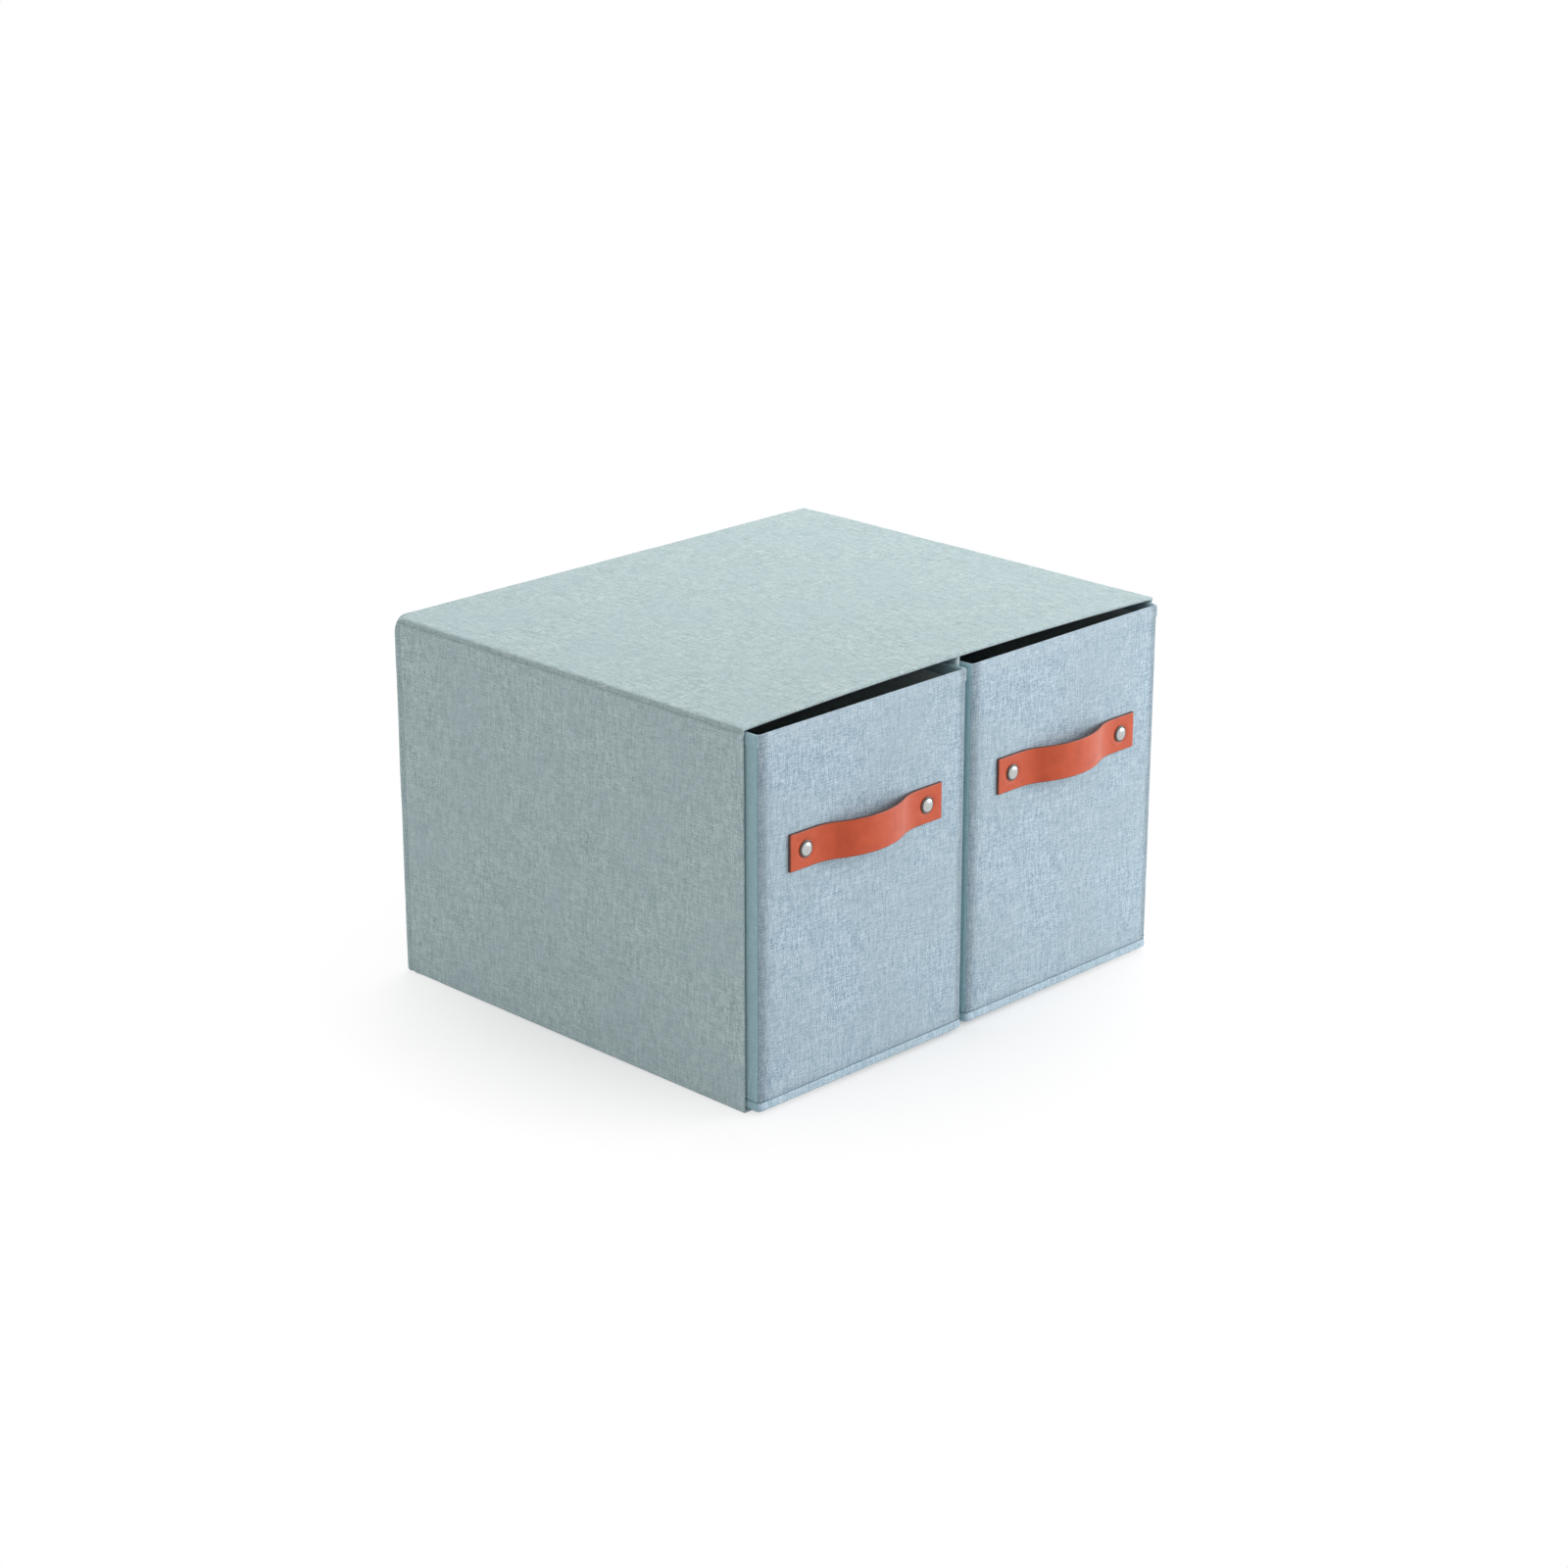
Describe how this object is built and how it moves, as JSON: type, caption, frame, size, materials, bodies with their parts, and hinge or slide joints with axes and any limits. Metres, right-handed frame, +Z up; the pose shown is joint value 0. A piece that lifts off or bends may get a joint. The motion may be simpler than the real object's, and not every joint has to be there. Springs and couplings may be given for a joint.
{
  "type": "file box with drawers",
  "caption": "Cloth-covered desk file box, open at the front, with deep drawers side by side that slide out by riveted leather strap pulls.",
  "frame": {"origin": "middle of the underside of the outer sleeve", "axes": "+Z up, the drawers open towards -Y, +X to the right of somebody who faces the drawers"},
  "size_m": [0.38, 0.3452, 0.2515],
  "materials": {
    "greyboard": "matt grey fibreboard",
    "cover_cloth": "matt woven linen, pale blue-green",
    "rim_tape": "matt woven tape, pale blue-green",
    "lining": "matt non-woven cloth",
    "strap_leather": "semi-matt terracotta leather with dark painted edges",
    "rivet_metal": "polished nickel"
  },
  "bodies": {
    "sleeve": {"sleeve_roof_board": "greyboard", "sleeve_left_board": "greyboard", "sleeve_right_board": "greyboard", "sleeve_back_board": "greyboard", "sleeve_base_board": "greyboard", "sleeve_divider_board": "greyboard", "sleeve_roof_cover": "cover_cloth", "sleeve_left_cover": "cover_cloth", "sleeve_right_cover": "cover_cloth", "sleeve_back_cover": "cover_cloth", "sleeve_base_cloth": "cover_cloth", "sleeve_divider_cloth": "cover_cloth", "sleeve_roof_lining": "lining", "sleeve_wall_lining": "lining"},
    "left_drawer": {"left_drawer_front_board": "greyboard", "left_drawer_back_board": "greyboard", "left_drawer_left_board": "greyboard", "left_drawer_right_board": "greyboard", "left_drawer_base_board": "greyboard", "left_drawer_wall_cloth": "cover_cloth", "left_drawer_base_cloth": "cover_cloth", "left_drawer_rim_binding": "rim_tape", "left_drawer_lining": "lining", "left_drawer_strap": "strap_leather", "left_drawer_rivet_heads": "rivet_metal", "left_drawer_rivet_backs": "rivet_metal"},
    "right_drawer": {"right_drawer_front_board": "greyboard", "right_drawer_back_board": "greyboard", "right_drawer_left_board": "greyboard", "right_drawer_right_board": "greyboard", "right_drawer_base_board": "greyboard", "right_drawer_wall_cloth": "cover_cloth", "right_drawer_base_cloth": "cover_cloth", "right_drawer_rim_binding": "rim_tape", "right_drawer_lining": "lining", "right_drawer_strap": "strap_leather", "right_drawer_rivet_heads": "rivet_metal", "right_drawer_rivet_backs": "rivet_metal"}
  },
  "joints": [
    {"name": "left_drawer_slide", "type": "slide", "parent": "sleeve", "child": "left_drawer", "axis": [0, -1, 0], "range_m": [-0.01, 0.25]},
    {"name": "right_drawer_slide", "type": "slide", "parent": "sleeve", "child": "right_drawer", "axis": [0, -1, 0], "range_m": [-0.0075, 0.2525]}
  ]
}
